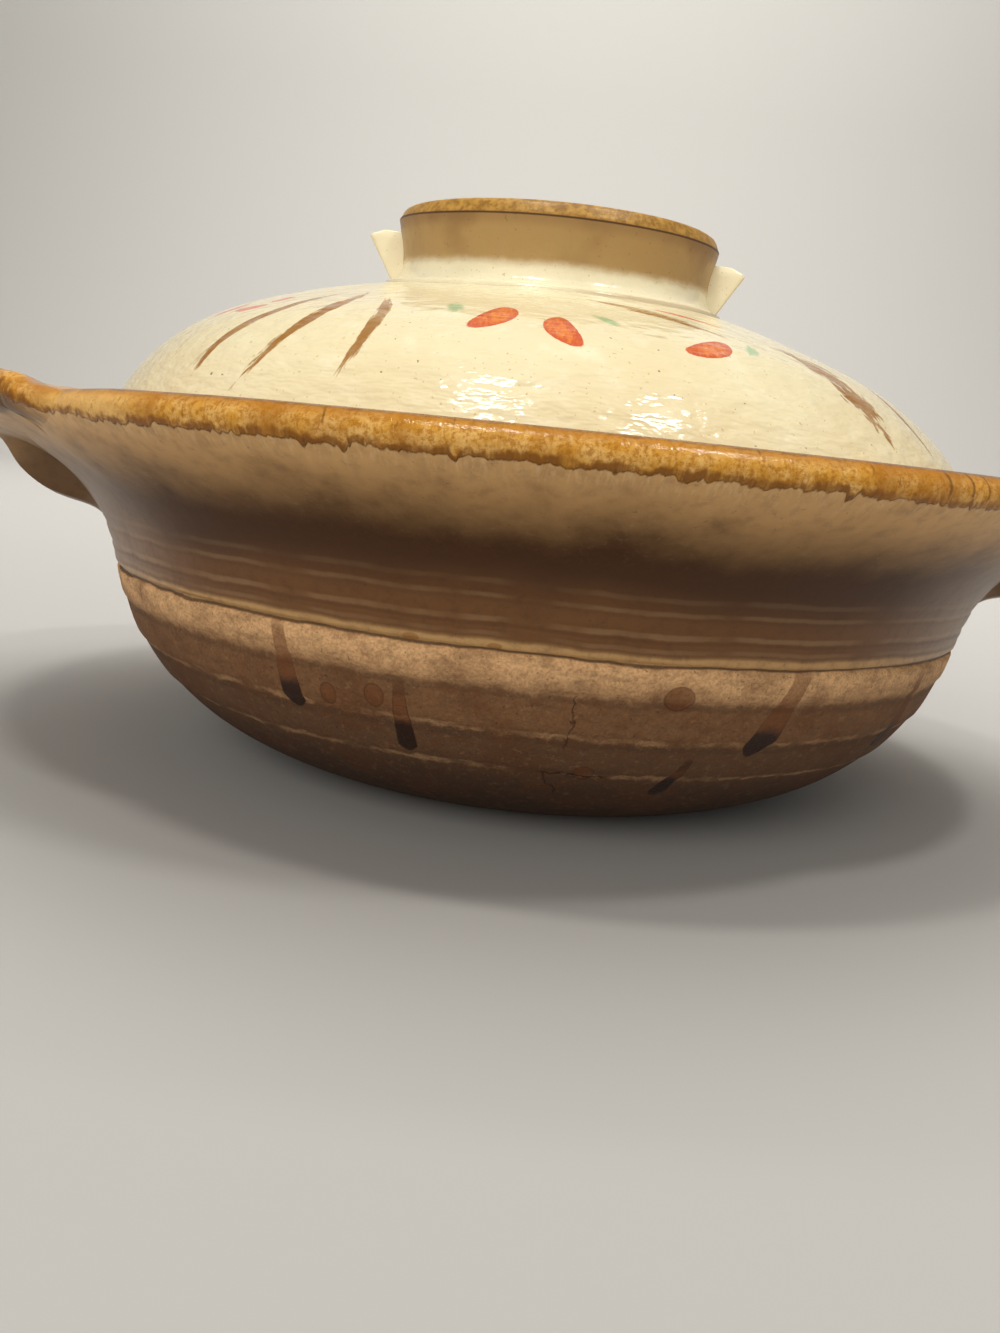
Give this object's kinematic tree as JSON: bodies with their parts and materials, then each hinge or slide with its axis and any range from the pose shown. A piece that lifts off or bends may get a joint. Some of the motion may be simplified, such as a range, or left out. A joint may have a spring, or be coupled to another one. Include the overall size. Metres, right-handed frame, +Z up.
{
  "type": "donabe",
  "caption": "Round donabe clay pot with two lug handles and a domed lid with a ring knob, glazed above and bare clay below.",
  "frame": {"origin": "centre of the footprint, on the table under the pot", "axes": "+Z up, the two lug handles on +X and -X, the pictured side faces -Y"},
  "size_m": [0.3036, 0.2708, 0.1384],
  "materials": {
    "pot_clay": "matt, glazed above the groove",
    "amber_glaze": "gloss",
    "cream_glaze": "gloss"
  },
  "bodies": {
    "pot": {"pot_body": "pot_clay", "handle_left": "amber_glaze", "handle_right": "amber_glaze"},
    "lid": {"lid_dome": "cream_glaze", "knob_ring": "cream_glaze", "knob_ear_left": "cream_glaze", "knob_ear_right": "cream_glaze"}
  },
  "joints": [
    {"name": "lid_lift", "type": "slide", "parent": "pot", "child": "lid", "axis": [0, 0, 1], "range_m": [0, 0.15]}
  ]
}
